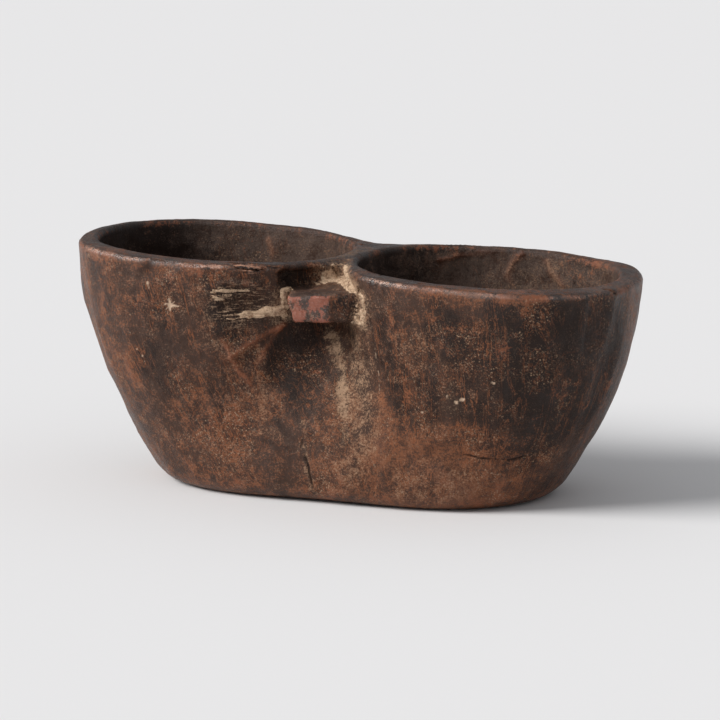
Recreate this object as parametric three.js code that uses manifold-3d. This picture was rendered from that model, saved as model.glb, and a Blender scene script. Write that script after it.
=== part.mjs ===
// A double bowl carved from one block of wood: two deep cups side by side, a waist
// between them, and a short lug standing in the front of the waist, just below the rim.
// Dried pale crust clings round the lug and in a shallow scar beside it.
// Millimetres. X runs along the two bowls, -Y is the side with the lug, +Z is up, and
// the block stands on Z = 0 with its origin at the middle of its underside.

import * as THREE from 'three';
import { ParametricGeometry } from 'three/addons/geometries/ParametricGeometry.js';
import { mergeVertices } from 'three/addons/utils/BufferGeometryUtils.js';
import Module from 'manifold-3d';

// ---------------------------------------------------------------- driving sizes

const CLEARANCE = 0.3; // air kept between one piece and the next

// Block, measured over its outside.
const RIM_LENGTH = 300;
const RIM_WIDTH = 140;
const BASE_LENGTH = 208;
const BASE_WIDTH = 90;
const BASE_SHIFT = 1.5; // the underside sits this far towards the right end
const HEIGHT = 120.6; // at the waist
const RIM_FALL = 12; // the rim is this much lower at the right end than at the left
const RIM_LOBE_SPACING = 152; // between the middles of the two lobes
const BASE_LOBE_SPACING = 120;
const RIM_SHOULDER = 3.2; // radius worn on the outside of the rim
const BASE_EDGE = 7; // radius worn round the underside

// How softly one lobe runs into the other: a small value is a sharp crease.
const WAIST_SOFTNESS = { front: 16, rear: 50, base: 150 };
const CREASE_FULL = 0.9; // share of the height above which the crease is at its sharpest
const WAIST_BLEND = 20; // the front softness turns into the rear one over this far each way
const LOBE_SQUARENESS = { left: 2.2, right: 2.45, base: 2 }; // 2 is an ellipse
const FLARE = { length: 2.06, width: 2.06 }; // 1 is a straight wall, more is a fuller belly

// Walls left round the cups.
const END_WALL = { left: 8.5, right: 12 };
const FRONT_WALL = 14;
const REAR_WALL = 6.5;
const SEPTUM = 11.5; // wall between the two cups, at the rim
const SEPTUM_OFFSET = -1.8; // its middle, off the middle of the block
const FLOOR = 14;
const FLOOR_END_WALL = 11;
const FLOOR_SIDE_WALL = 4;
const FLOOR_SEPTUM = 17;
const CUP_FLOOR_EDGE = 26; // radius between a cup's floor and its wall
const CUP_LIP = 2.6; // radius worn on the inside of the rim
const CUP_SQUARENESS = 2.15;

// Lug.
const LUG_DROP = 12; // top of the lug below the rim
const LUG_THICKNESS = 14.5;
const LUG_SETBACK = 7.5; // its end stands this far short of the lobes' widest line
const LUG_END_WIDTH = 21.5;
const LUG_ROOT_WIDTH = 39;
const LUG_ROOT_SHIFT = 1.5; // middle of the root, off the middle of the block
const LUG_END_SHIFT = -4; // middle of the end, off the middle of the block
const LUG_END_SKEW = 5.5; // the end's right corner stands back by this much
const LUG_RISE = 4; // its top climbs this much from the end to the middle of the block
const LUG_EDGE = 2.4; // radius worn on its edges
const LUG_UNDERCUT = 0.82; // width of the underside as a share of the top

// Scar beside the lug.
const SCAR_LENGTH = 44;
const SCAR_HEIGHT = 23;
const SCAR_DEPTH = 4;
const SCAR_BULGE = 11; // radius of the hollow, square to the wall
const SCAR_FROM_LUG = 20; // middle of the scar to the lug's left root

// Dried crust.
const COLLAR_THICKNESS = 1.5;
const COLLAR_WIDTH = 5.5; // how far the collar reaches past the lug's sides
const COLLAR_PEAK = 10; // how far it climbs above the lug, in the crease
const SCAR_CRUST_THICKNESS = 2.8;
const SCAR_CRUST_HEIGHT = 8;

// Smoothness of the faceted surfaces.
const BLOCK_TURN_STEPS = 112;
const BLOCK_WALL_STEPS = 12;
const CUP_TURN_STEPS = 64;
const CUP_WALL_STEPS = 8;
const EDGE_STEPS = 3;
const LOWER_EDGE_STEPS = 4;
const ABOVE_RIM = 8; // how far a cutting form runs past the rim

const { clamp, lerp, smoothstep } = THREE.MathUtils;

const wood = new THREE.MeshStandardMaterial({ color: 0x5d4335, roughness: 0.55, metalness: 0 });
const paleCrust = new THREE.MeshStandardMaterial({ color: 0xb9997f, roughness: 0.95, metalness: 0 });
const scarCrust = new THREE.MeshStandardMaterial({ color: 0xad8f70, roughness: 0.95, metalness: 0 });

// ---------------------------------------------------------------- solids

const wasm = await Module();
wasm.setup();

// Turns a closed three.js geometry into a solid that can be joined and cut.
function solidFrom(geometry) {
  const bare = geometry.clone();
  for (const name of ['normal', 'uv']) bare.deleteAttribute(name);
  const merged = mergeVertices(bare, 1e-4);
  const corners = merged.index.array;
  const triangles = [];
  for (let i = 0; i < corners.length; i += 3) {
    const [a, b, c] = corners.slice(i, i + 3);
    if (a !== b && b !== c && c !== a) triangles.push(a, b, c);
  }
  return new wasm.Manifold(new wasm.Mesh({
    numProp: 3,
    vertProperties: new Float32Array(merged.attributes.position.array),
    triVerts: new Uint32Array(triangles),
  }));
}

// Turns a solid back into a named mesh.
function meshFrom(name, solid, material) {
  const { vertProperties, triVerts } = solid.getMesh();
  const geometry = new THREE.BufferGeometry();
  geometry.setAttribute('position', new THREE.BufferAttribute(vertProperties, 3));
  geometry.setIndex(new THREE.BufferAttribute(triVerts, 1));
  geometry.computeVertexNormals();
  const mesh = new THREE.Mesh(geometry, material);
  mesh.name = name;
  return mesh;
}

// ---------------------------------------------------------------- outlines

// Distance outside one rounded lobe, near enough to true millimetres at its edge.
function lobeDistance(x, y, lobe) {
  const { centre, reach, squareness } = lobe;
  const across = Math.abs((x - centre.x) / reach.x) ** squareness;
  const along = Math.abs((y - centre.y) / reach.y) ** squareness;
  return ((across + along) ** (1 / squareness) - 1) * (reach.x + reach.y) / 2;
}

function smoothUnion(a, b, softness) {
  const share = clamp(0.5 + 0.5 * (b - a) / softness, 0, 1);
  return lerp(b, a, share) - softness * share * (1 - share);
}

// Outline of the block at a level: 0 at the underside, 1 at the rim.
function blockOutline(level) {
  const within = clamp(level, 0, 1);
  const longer = 1 - (1 - within) ** FLARE.length;
  const wider = 1 - (1 - within) ** FLARE.width;
  const spacing = lerp(BASE_LOBE_SPACING, RIM_LOBE_SPACING, longer);
  const reach = {
    x: lerp(BASE_LENGTH - BASE_LOBE_SPACING, RIM_LENGTH - RIM_LOBE_SPACING, longer) / 2,
    y: lerp(BASE_WIDTH, RIM_WIDTH, wider) / 2,
  };
  const shift = lerp(BASE_SHIFT, 0, longer);
  const lobe = (side, squareness) => ({
    centre: { x: side * spacing / 2 + shift, y: 0 },
    reach,
    squareness: lerp(LOBE_SQUARENESS.base, squareness, within),
  });
  const left = lobe(-1, LOBE_SQUARENESS.left);
  const right = lobe(1, LOBE_SQUARENESS.right);
  const sharpening = smoothstep(within, 0, CREASE_FULL);
  return {
    centre: { x: 0, y: 0 },
    distance(x, y) {
      const rearward = smoothstep(y, -WAIST_BLEND, WAIST_BLEND);
      const rimSoftness = lerp(WAIST_SOFTNESS.front, WAIST_SOFTNESS.rear, rearward);
      const softness = lerp(WAIST_SOFTNESS.base, rimSoftness, sharpening);
      return smoothUnion(lobeDistance(x, y, left), lobeDistance(x, y, right), softness);
    },
  };
}

// Outline of one cup at a level: 0 at its floor, 1 at the rim.
function cupOutline(side, level) {
  const within = clamp(level, 0, 1);
  const endWall = side < 0 ? END_WALL.left : END_WALL.right;
  const nearRim = SEPTUM / 2 + side * SEPTUM_OFFSET;
  const farRim = RIM_LENGTH / 2 - endWall;
  const nearFloor = FLOOR_SEPTUM / 2 + side * BASE_SHIFT;
  const farFloor = BASE_LENGTH / 2 + side * BASE_SHIFT - FLOOR_END_WALL;
  const longer = 1 - (1 - within) ** FLARE.length;
  const wider = 1 - (1 - within) ** FLARE.width;
  const near = lerp(nearFloor, nearRim, longer);
  const far = lerp(farFloor, farRim, longer);
  const floorReach = BASE_WIDTH / 2 - FLOOR_SIDE_WALL;
  const front = lerp(-floorReach, FRONT_WALL - RIM_WIDTH / 2, wider);
  const rear = lerp(floorReach, RIM_WIDTH / 2 - REAR_WALL, wider);
  const centre = { x: side * (near + far) / 2, y: (front + rear) / 2 };
  const reach = { x: (far - near) / 2, y: (rear - front) / 2 };
  const lobe = { centre, reach, squareness: CUP_SQUARENESS };
  return { centre, distance: (x, y) => lobeDistance(x, y, lobe) };
}

// How far it is from an outline's centre to its edge, shrunk by the inset, in one direction.
function reachOf(outline, angle, inset) {
  let inside = 0;
  let outside = RIM_LENGTH + RIM_WIDTH;
  for (let halving = 0; halving < 40; halving += 1) {
    const middle = (inside + outside) / 2;
    const x = outline.centre.x + middle * Math.cos(angle);
    const y = outline.centre.y + middle * Math.sin(angle);
    if (outline.distance(x, y) < -inset) inside = middle;
    else outside = middle;
  }
  return inside;
}

// ---------------------------------------------------------------- lofted forms

const rimHeight = (x) => HEIGHT - RIM_FALL * x / RIM_LENGTH;

// The rings of a loft from bottom to top: a level and an inset each, with a rounded
// lower edge, a wall, and an upper edge that rounds in (or flares out, if negative).
function ringsOf({ height, lowerEdge, upperEdge, wallSteps, overrun }) {
  const rings = [{ level: 0, pole: true }];
  for (let i = 0; i <= LOWER_EDGE_STEPS; i += 1) {
    const turn = (i / LOWER_EDGE_STEPS - 1) * Math.PI / 2;
    rings.push({ level: lowerEdge * (1 + Math.sin(turn)) / height, inset: lowerEdge * (1 - Math.cos(turn)) });
  }
  const wallStart = lowerEdge / height;
  const wallEnd = 1 - Math.abs(upperEdge) / height;
  for (let i = 1; i < wallSteps; i += 1) {
    rings.push({ level: lerp(wallStart, wallEnd, i / wallSteps), inset: 0 });
  }
  for (let i = 0; i <= EDGE_STEPS; i += 1) {
    const turn = (i / EDGE_STEPS) * Math.PI / 2;
    const level = upperEdge > 0
      ? wallEnd + upperEdge * Math.sin(turn) / height
      : wallEnd - upperEdge * Math.sin(turn) / height;
    rings.push({ level, inset: upperEdge * (1 - Math.cos(turn)) });
  }
  if (overrun > 0) rings.push({ level: 1 + overrun / height, inset: upperEdge });
  rings.push({ level: 1 + overrun / height, pole: true });
  return rings;
}

// A closed form through all of its rings; steps crowd towards the two far ends.
function loft({ rings, outlineAt, heightAt, turnSteps, crowding, grow }) {
  const outlines = rings.map((ring) => outlineAt(ring.level));
  const place = (u, v, target) => {
    const index = Math.round(v * (rings.length - 1));
    const ring = rings[index];
    const outline = outlines[index];
    const even = (u % 1) * 2 * Math.PI;
    const angle = even - crowding * Math.sin(2 * even);
    const reach = ring.pole ? 0 : reachOf(outline, angle, ring.inset - grow);
    const x = outline.centre.x + reach * Math.cos(angle);
    const y = outline.centre.y + reach * Math.sin(angle);
    target.set(x, y, heightAt(x, ring.level));
  };
  return solidFrom(new ParametricGeometry(place, turnSteps, rings.length - 1));
}

// The outside of the block with nothing hollowed, grown outwards all round.
function blockForm(grow) {
  return loft({
    rings: ringsOf({
      height: HEIGHT,
      lowerEdge: BASE_EDGE,
      upperEdge: RIM_SHOULDER,
      wallSteps: BLOCK_WALL_STEPS,
      overrun: 0,
    }),
    outlineAt: blockOutline,
    heightAt: (x, level) => level * rimHeight(x),
    turnSteps: BLOCK_TURN_STEPS,
    crowding: 0.16,
    grow,
  });
}

function cupForm(side) {
  return loft({
    rings: ringsOf({
      height: HEIGHT - FLOOR,
      lowerEdge: CUP_FLOOR_EDGE,
      upperEdge: -CUP_LIP,
      wallSteps: CUP_WALL_STEPS,
      overrun: ABOVE_RIM,
    }),
    outlineAt: (level) => cupOutline(side, level),
    heightAt: (x, level) => FLOOR + level * (rimHeight(x) - FLOOR),
    turnSteps: CUP_TURN_STEPS,
    crowding: 0,
    grow: 0,
  });
}

// ---------------------------------------------------------------- lug and scar

const lugTop = HEIGHT - LUG_DROP;
const lugMiddle = lugTop - LUG_THICKNESS / 2;
const lugEndY = LUG_SETBACK - RIM_WIDTH / 2;
const lugLeftRoot = rootCorner(-1);
const lugRightRoot = rootCorner(1);

// Where the block's front face stands, at a place along it and a height.
function frontFace(x, z) {
  const outline = blockOutline(z / rimHeight(x));
  let inside = 0;
  let outside = -RIM_WIDTH;
  for (let halving = 0; halving < 40; halving += 1) {
    const middle = (inside + outside) / 2;
    if (outline.distance(x, middle) < 0) inside = middle;
    else outside = middle;
  }
  return inside;
}

function rootCorner(side) {
  const x = LUG_ROOT_SHIFT + side * LUG_ROOT_WIDTH / 2;
  return { x, y: frontFace(x, lugMiddle) };
}

// A tapering block that fills the crease of the waist, with a slightly skewed end,
// worn edges and an underside narrower than its top. Grown for the crust's clearance.
function lugForm(grow) {
  const half = LUG_END_WIDTH / 2 - LUG_EDGE;
  const endLeft = [LUG_END_SHIFT - half, lugEndY + LUG_EDGE];
  const endRight = [LUG_END_SHIFT + half, lugEndY + LUG_EDGE + LUG_END_SKEW];
  const outline = new THREE.Shape([
    endLeft,
    endRight,
    [lugRightRoot.x - LUG_EDGE, lugRightRoot.y + LUG_EDGE],
    [lugRightRoot.x / 2, 0],
    [lugLeftRoot.x / 2, 0],
    [lugLeftRoot.x + LUG_EDGE, lugLeftRoot.y + LUG_EDGE],
  ].map(([x, y]) => new THREE.Vector2(x, y)));
  const bevel = LUG_EDGE + grow;
  const geometry = new THREE.ExtrudeGeometry(outline, {
    depth: LUG_THICKNESS - 2 * LUG_EDGE,
    bevelEnabled: true,
    bevelSize: bevel,
    bevelThickness: bevel,
    bevelSegments: EDGE_STEPS,
  });
  geometry.translate(0, 0, lugTop - LUG_THICKNESS + LUG_EDGE);
  const places = geometry.attributes.position;
  for (let i = 0; i < places.count; i += 1) {
    const depth = clamp((lugTop - places.getZ(i)) / LUG_THICKNESS, 0, 1);
    const narrowing = lerp(1, LUG_UNDERCUT, depth);
    const inward = clamp(1 - places.getY(i) / lugEndY, 0, 1);
    places.setX(i, LUG_END_SHIFT + (places.getX(i) - LUG_END_SHIFT) * narrowing);
    places.setZ(i, places.getZ(i) + LUG_RISE * inward * (1 - depth));
  }
  return solidFrom(geometry);
}

// The hollow of the scar: a long egg sunk into the face of the left lobe.
function scarForm(grow) {
  const x = lugLeftRoot.x - SCAR_FROM_LUG;
  const y = frontFace(x, lugMiddle);
  const step = SCAR_LENGTH / 4;
  const slope = Math.atan2(frontFace(x + step, lugMiddle) - frontFace(x - step, lugMiddle), 2 * step);
  const out = SCAR_BULGE - SCAR_DEPTH;
  const egg = new THREE.SphereGeometry(1, 28, 14);
  egg.scale(SCAR_LENGTH / 2 + grow, SCAR_BULGE + grow, SCAR_HEIGHT / 2 + grow);
  egg.rotateZ(slope);
  egg.translate(x + out * Math.sin(slope), y - out * Math.cos(slope), lugMiddle);
  return solidFrom(egg);
}

// ---------------------------------------------------------------- crust

// An arch in front view that straddles the lug: up its left side, over and down its right.
function collarRegion() {
  const left = lugLeftRoot.x - COLLAR_WIDTH;
  const right = lugRightRoot.x + COLLAR_WIDTH;
  const bottom = lugTop - LUG_THICKNESS;
  const arch = new THREE.Shape();
  arch.moveTo(left, bottom);
  arch.lineTo(right - COLLAR_WIDTH / 2, bottom);
  arch.quadraticCurveTo(right, lugMiddle, right - COLLAR_WIDTH / 2, lugTop);
  arch.lineTo(COLLAR_WIDTH, lugTop + COLLAR_PEAK);
  arch.lineTo(-COLLAR_WIDTH / 2, lugTop + COLLAR_PEAK);
  arch.lineTo(left + COLLAR_WIDTH / 2, lugTop);
  arch.quadraticCurveTo(left - COLLAR_WIDTH / 4, lugMiddle, left, bottom);
  const slab = new THREE.ExtrudeGeometry(arch, {
    depth: RIM_WIDTH / 2,
    bevelEnabled: false,
    curveSegments: 8,
  });
  slab.rotateX(Math.PI / 2);
  return solidFrom(slab);
}

function lugCollar() {
  const skin = blockForm(CLEARANCE + COLLAR_THICKNESS).subtract(blockForm(CLEARANCE));
  const ring = skin.intersect(collarRegion());
  const beneath = new THREE.BoxGeometry(LUG_ROOT_WIDTH * LUG_UNDERCUT, RIM_WIDTH, LUG_THICKNESS);
  beneath.translate(LUG_END_SHIFT / 2, 0, lugTop - LUG_THICKNESS);
  return ring.subtract(lugForm(CLEARANCE)).subtract(scarForm(CLEARANCE)).subtract(solidFrom(beneath));
}

function scarDeposit() {
  const deep = blockForm(SCAR_CRUST_THICKNESS - SCAR_DEPTH);
  const band = new THREE.BoxGeometry(RIM_LENGTH, RIM_WIDTH * 2, SCAR_CRUST_HEIGHT);
  band.translate(0, 0, lugMiddle - SCAR_CRUST_HEIGHT / 4);
  return scarForm(-CLEARANCE).intersect(deep).intersect(solidFrom(band)).subtract(lugForm(CLEARANCE));
}

// ---------------------------------------------------------------- the whole piece

const carvedBlock = blockForm(0)
  .subtract(scarForm(0))
  .add(lugForm(0))
  .subtract(cupForm(-1))
  .subtract(cupForm(1));

const bowl = new THREE.Group();
bowl.add(meshFrom('double_bowl', carvedBlock, wood));
bowl.add(meshFrom('lug_crust', lugCollar(), paleCrust));
bowl.add(meshFrom('scar_crust', scarDeposit(), scarCrust));

export default bowl;
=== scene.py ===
"""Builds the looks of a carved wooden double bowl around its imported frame.

The block is cut once more from a fine skin over the frame: adze and gouge marks, worn
edges, a scar, splits and chips. The pale crust grows out of that skin. Everything is in
metres; lengths inside the carving code are in millimetres, as the constants say.
"""

import itertools
import math

import bmesh
import bpy
import numpy as np
from bpy.props import FloatProperty, FloatVectorProperty, IntProperty, PointerProperty
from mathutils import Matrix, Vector
from mathutils.bvhtree import BVHTree


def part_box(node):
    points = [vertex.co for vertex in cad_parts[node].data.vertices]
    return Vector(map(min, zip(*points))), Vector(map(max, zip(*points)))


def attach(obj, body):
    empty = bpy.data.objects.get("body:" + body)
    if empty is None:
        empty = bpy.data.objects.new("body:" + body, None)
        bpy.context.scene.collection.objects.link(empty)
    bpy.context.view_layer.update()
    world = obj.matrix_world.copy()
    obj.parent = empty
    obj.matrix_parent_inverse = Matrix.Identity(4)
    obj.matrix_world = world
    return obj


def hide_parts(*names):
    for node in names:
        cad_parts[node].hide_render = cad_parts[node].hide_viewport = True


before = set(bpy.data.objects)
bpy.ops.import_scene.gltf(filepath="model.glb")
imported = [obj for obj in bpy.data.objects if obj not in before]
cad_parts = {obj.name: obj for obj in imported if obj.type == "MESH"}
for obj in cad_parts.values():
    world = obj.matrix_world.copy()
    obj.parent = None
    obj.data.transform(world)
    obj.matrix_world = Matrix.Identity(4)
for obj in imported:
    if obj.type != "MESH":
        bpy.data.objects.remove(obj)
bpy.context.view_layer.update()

bl_info = {
    "name": "Carved Double Bowl",
    "version": (1, 0, 0),
    "blender": (4, 5, 0),
    "location": "View3D > Sidebar > Double Bowl",
    "description": "Carves a double bowl of dark worn wood, lays its crust and sets its stage",
    "category": "Object",
}

MM = 0.001
CARVED = "carved_bowl"
BLOCK_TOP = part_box("double_bowl")[1][2] / MM
COLLAR_LOW, COLLAR_HIGH = (np.array(corner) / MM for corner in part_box("lug_crust"))

# The lug, as the frame holds it, with its left corner and the ridge down its end.
LUG_FOOT = COLLAR_LOW[2]
LUG_THICKNESS = 14.5
LUG_TOP = LUG_FOOT + LUG_THICKNESS
LUG_MIDDLE_X = (COLLAR_LOW[0] + COLLAR_HIGH[0]) / 2
COLLAR_REACH = 9  # how far from the lug's crust its dust still lies
LUG_END_Y = -62.5
LUG_LEFT_X = -15.2
LUG_RIDGE_X = 5.5


# ---- numbers as fields

KEYS = 1024  # a power of two
SLOPES = np.random.default_rng(11).normal(size=(KEYS, 3))
SLOPES /= np.linalg.norm(SLOPES, axis=1)[:, None]
JITTER = np.random.default_rng(12).random((KEYS, 3))
CELL_PRIMES = (73856093, 19349663, 83492791)
SEED_PRIME = 2654435761
MIXING_PRIME = 1274126177


def hashed(cells, seed):
    """A key, a whole number below KEYS, for each lattice cell."""
    x, y, z = (cells[:, i].astype(np.int64) * CELL_PRIMES[i] for i in range(3))
    mixed = x ^ y ^ z ^ (seed * SEED_PRIME)
    mixed = (mixed ^ (mixed >> 13)) * MIXING_PRIME
    return (mixed ^ (mixed >> 16)) & (KEYS - 1)


def ripple(points, seed):
    """Smooth noise, about -1 to 1, with features one unit across."""
    cell = np.floor(points)
    local = points - cell
    fade = local ** 3 * (local * (local * 6 - 15) + 10)
    total = np.zeros(len(points))
    for corner in itertools.product((0, 1), repeat=3):
        offset = np.array(corner)
        slope = SLOPES[hashed(cell + offset, seed)]
        weight = np.prod(np.where(offset == 1, fade, 1 - fade), axis=1)
        total += weight * np.sum(slope * (local - offset), axis=1)
    return total * 1.6


def rough(points, seed, octaves=4):
    """Ripples on ripples, each half the size of the last."""
    total, size, height = np.zeros(len(points)), 1.0, 1.0
    for octave in range(octaves):
        total += height * ripple(points * size, seed + octave)
        size, height = size * 2.03, height * 0.5
    return total


def nearest_cells(points, seed):
    """Distances to the nearest two scattered seeds, one seed to a unit cell."""
    cell = np.floor(points)
    first = np.full(len(points), np.inf)
    second = np.full(len(points), np.inf)
    owner = np.zeros(len(points))
    for corner in itertools.product((-1, 0, 1), repeat=3):
        key = hashed(cell + np.array(corner), seed)
        reach = np.linalg.norm(cell + np.array(corner) + JITTER[key] - points, axis=1)
        closer = reach < first
        second = np.where(closer, first, np.minimum(second, reach))
        owner = np.where(closer, key / (KEYS - 1), owner)
        first = np.where(closer, reach, first)
    return first, second, owner


def ease(values, low, high):
    """0 below low, 1 above high and smooth between; low may be the larger."""
    share = np.clip((values - low) / (high - low), 0, 1)
    return share * share * (3 - 2 * share)


def blob(points, centre, radii):
    """1 at the centre of an egg, 0.5 near its skin and 0 outside it."""
    reach = np.linalg.norm((points - np.array(centre)) / np.array(radii), axis=1)
    return ease(reach, 1.35, 0.65)


def wandering(points, size, seed, octaves):
    """A small push for each point, about one long, that changes slowly over a size."""
    return np.stack([rough(points / size, seed + i, octaves) for i in range(3)], axis=1)


def along_path(points, path):
    """Distance to a path of straight runs, and how far along it, from 0 to 1."""
    stops = np.array(path, float)
    runs = np.linalg.norm(np.diff(stops, axis=0), axis=1)
    starts = np.concatenate([[0], np.cumsum(runs)])
    best = np.full(len(points), np.inf)
    share = np.zeros(len(points))
    for start, end, run, before in zip(stops[:-1], stops[1:], runs, starts):
        lead = np.clip((points - start) @ (end - start) / run ** 2, 0, 1)
        gap = np.linalg.norm(points - start - lead[:, None] * (end - start), axis=1)
        closer = gap < best
        best = np.where(closer, gap, best)
        share = np.where(closer, (before + lead * run) / starts[-1], share)
    return best, share


# ---- meshes as arrays

class Skin:
    """A mesh's points and normals in millimetres, with its edges for smoothing."""

    def __init__(self, mesh):
        self.mesh = mesh
        self.reread()

    def reread(self):
        count = len(self.mesh.vertices)
        self.points = self._read(self.mesh.vertices, "co", 3) / MM
        self.ends = self._read(self.mesh.edges, "vertices", 2, np.int32)
        self.valence = np.bincount(self.ends.ravel(), minlength=count)
        self.normals = self._read(self.mesh.vertices, "normal", 3)

    def _read(self, items, field, width, kind=np.float32):
        flat = np.empty(len(items) * width, kind)
        items.foreach_get(field, flat)
        return flat.reshape(-1, width).astype(float if kind is np.float32 else kind)

    def write(self):
        self.mesh.vertices.foreach_set("co", (self.points * MM).astype(np.float32).ravel())
        self.mesh.update()
        self.normals = self._read(self.mesh.vertices, "normal", 3)

    def push(self, heights):
        """Moves each point out along its normal by its height."""
        self.points += self.normals * heights[:, None]
        self.write()

    def smoothed(self, values, rounds, share=0.6):
        flat = values.reshape(len(values), -1).copy()
        count = len(flat)
        for _ in range(rounds):
            for column in range(flat.shape[1]):
                line = flat[:, column]
                near = np.bincount(self.ends[:, 0], line[self.ends[:, 1]], count)
                near += np.bincount(self.ends[:, 1], line[self.ends[:, 0]], count)
                flat[:, column] = line + share * (near / self.valence - line)
        return flat.reshape(values.shape)

    def relax(self, rounds):
        """Takes out steps; every second pass grows back what the first shrank."""
        for _ in range(rounds):
            for share in (0.6, -0.62):
                self.points = self.smoothed(self.points, 1, share)
        self.write()

    def relief(self, rounds):
        """How far each point stands out from its smoothed surroundings."""
        return np.sum((self.points - self.smoothed(self.points, rounds)) * self.normals, axis=1)

    def refine(self, chosen):
        """Cuts the faces whose points are all chosen into four."""
        work = bmesh.new()
        work.from_mesh(self.mesh)
        work.verts.ensure_lookup_table()
        for vertex, picked in zip(work.verts, chosen):
            vertex.select = bool(picked)
        edges = [e for e in work.edges if e.verts[0].select and e.verts[1].select]
        bmesh.ops.subdivide_edges(work, edges=edges, cuts=1, use_grid_fill=True, smooth=0.0)
        work.to_mesh(self.mesh)
        work.free()
        self.mesh.update()
        self.reread()

    def paint(self, name, values):
        """Stores one number, or one place, for each point."""
        wide = values.ndim > 1
        layer = self.mesh.attributes.new(name, "FLOAT_VECTOR" if wide else "FLOAT", "POINT")
        layer.data.foreach_set("vector" if wide else "value", values.astype(np.float32).ravel())


def shade_smooth(mesh):
    mesh.polygons.foreach_set("use_smooth", np.ones(len(mesh.polygons), bool))
    mesh.update()


def new_piece(name, data):
    piece = bpy.data.objects.new(name, data)
    bpy.context.scene.collection.objects.link(piece)
    return piece


def fine_copy(node, name, voxel):
    """An even skin of small quads over one CAD node, as a new object."""
    piece = new_piece(name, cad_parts[node].data.copy())
    remesh = piece.modifiers.new("even skin", "REMESH")
    remesh.mode = "VOXEL"
    remesh.voxel_size = voxel
    shown = piece.evaluated_get(bpy.context.evaluated_depsgraph_get())
    mesh = bpy.data.meshes.new_from_object(shown)
    mesh.name = name
    mesh.materials.clear()
    piece.modifiers.clear()
    piece.data = mesh
    return piece


def nearest_on(node, points, reach):
    """How far each point lies from a CAD node, and the nearest place on it, in mm."""
    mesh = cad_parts[node].data
    corners = np.array([v.co[:] for v in mesh.vertices]) / MM
    tree = BVHTree.FromPolygons(corners.tolist(), [p.vertices[:] for p in mesh.polygons])
    gaps = np.full(len(points), float(reach))
    places = points.copy()
    close = np.all((points > corners.min(0) - reach) & (points < corners.max(0) + reach), axis=1)
    for i in np.flatnonzero(close):
        place, _, _, gap = tree.find_nearest(Vector(points[i]))
        gaps[i] = gap
        places[i] = place
    return gaps, places


# ---- where things are

def rim_plane():
    """Height of the rim as a + b x, from the frame's own upward faces near the top."""
    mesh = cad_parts["double_bowl"].data
    heights = [(p.center.x / MM, p.center.z / MM) for p in mesh.polygons
               if p.normal.z > 0.98 and p.center.z > 0.8 * BLOCK_TOP * MM
               and abs(p.center.x / MM) > 8]
    slope, level = np.polyfit(*np.array(heights).T, 1)
    return level, slope


RIM_LEVEL, RIM_SLOPE = rim_plane()
BASE_SHARE = np.array([0.70, 0.64])  # underside against rim, along and across
LEFT_CUP = np.array(((-53.0, 0.5), (-74.5, 3.8)))  # its middle at the floor and at the rim
RIGHT_CUP = np.array(((55.0, 0.5), (71.0, 3.8)))
BETWEEN_CUPS_X = -1.8
CUP_FLOOR = 14.0
RIM_FINE_DEPTH = 4.6  # how far down the rim's small faces reach
RIM_CRISP_DEPTH = 8  # how far down its edges are drawn back to the CAD block's
RIM_EDGE_DEPTH = 3  # the same for its inner edge, once the cutting has softened it
LUG_CRISP = 2.5  # the same round the lug's root
ZONE_STEP = 2.5  # how much wider each coarser cut zone is
NEARBY = 4  # how far off the CAD block is looked for


def rim_height(x):
    return RIM_LEVEL + RIM_SLOPE * x


def rim_depth(points):
    """How far each point lies below the rim."""
    return rim_height(points[:, 0]) - points[:, 2]


def standing_share(skin):
    """1 on the walls and 0 underneath."""
    return 1 - ease(-skin.normals[:, 2], 0.5, 0.9)


def on_rim_outline(points):
    """Each point spread out to the rim's own outline, so that grain follows the walls."""
    level = np.clip(points[:, 2] / rim_height(points[:, 0]), 0, 1)
    swell = 1 - (1 - level[:, None]) ** 2
    place = points.copy()
    place[:, :2] /= BASE_SHARE + (1 - BASE_SHARE) * swell
    return place


def inner_share(skin):
    """1 on the walls and floors of the cups, 0 on the outside."""
    points, normals = skin.points, skin.normals
    height = np.clip((points[:, 2] - CUP_FLOOR) / (RIM_LEVEL - CUP_FLOOR), 0, 1)[:, None]
    on_the_left = points[:, 0, None] < BETWEEN_CUPS_X
    low = np.where(on_the_left, LEFT_CUP[0], RIGHT_CUP[0])
    high = np.where(on_the_left, LEFT_CUP[1], RIGHT_CUP[1])
    axis = low + (high - low) * (1 - (1 - height) ** 2)
    towards = axis - points[:, :2]
    towards /= np.linalg.norm(towards, axis=1)[:, None] + 1e-6
    facing = np.sum(towards * normals[:, :2], axis=1)
    floor = ease(normals[:, 2], 0.4, 0.7) * ease(rim_depth(points), 8, 14)
    return np.maximum(ease(facing, 0.05, 0.3), floor)


# ---- carving, in millimetres

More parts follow.
